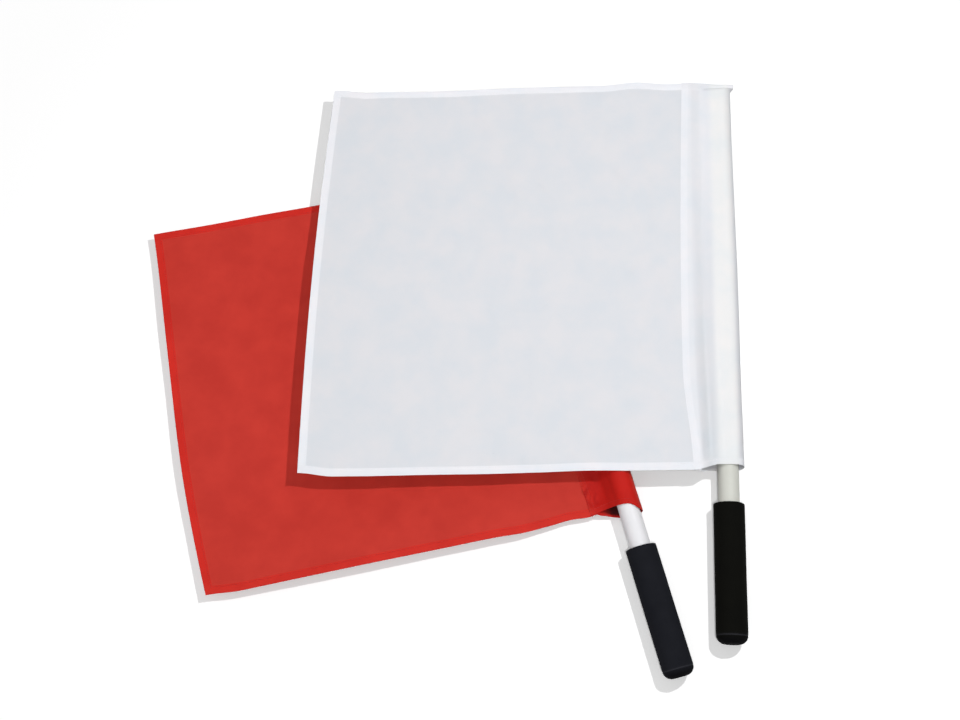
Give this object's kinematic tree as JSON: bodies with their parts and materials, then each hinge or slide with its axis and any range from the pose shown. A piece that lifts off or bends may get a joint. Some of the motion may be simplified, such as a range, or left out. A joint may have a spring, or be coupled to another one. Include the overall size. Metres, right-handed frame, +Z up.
{
  "type": "linesman flag",
  "caption": "Linesman flags, each a hemmed square of cloth whose sewn casing turns on a plastic pipe pole with a closed foam grip.",
  "frame": {"origin": "on the table, under the middle of the pair's bounding box", "axes": "+Z up from the table; +Y from the grips towards the heads of the flags; +X from the fly edges towards the white flag's pole"},
  "size_m": [0.6462, 0.6544, 0.0309],
  "materials": {
    "pipe": "white extruded PVC pipe, slight sheen",
    "plug": "moulded plastic plug",
    "foam": "black closed-cell foam, matte",
    "red_cloth": "red plain-woven nylon",
    "white_cloth": "white plain-woven nylon"
  },
  "bodies": {
    "red_flag_cloth": {"red_panel": "red_cloth", "red_casing": "red_cloth"},
    "red_flag_pole": {"red_pole": "pipe", "red_pole_plug": "plug", "red_grip": "foam"},
    "white_flag_pole": {"white_pole": "pipe", "white_pole_plug": "plug", "white_grip": "foam"},
    "white_flag_cloth": {"white_panel": "white_cloth", "white_casing": "white_cloth"}
  },
  "joints": [
    {"name": "red_pole_turn", "type": "hinge", "parent": "red_flag_cloth", "child": "red_flag_pole", "pos_m": [0.18025, -0.16072, 0.01545], "axis": [-0.2512, 0.9679, 0], "continuous": true},
    {"name": "white_flag_lift", "type": "slide", "parent": "red_flag_cloth", "child": "white_flag_pole", "axis": [0, 0, 1], "range_m": [0, 0.3]},
    {"name": "white_cloth_swing", "type": "hinge", "parent": "white_flag_pole", "child": "white_flag_cloth", "pos_m": [0.28325, -0.11872, 0.01545], "axis": [0.0497, 0.9988, 0], "range_deg": [0, 180]}
  ]
}
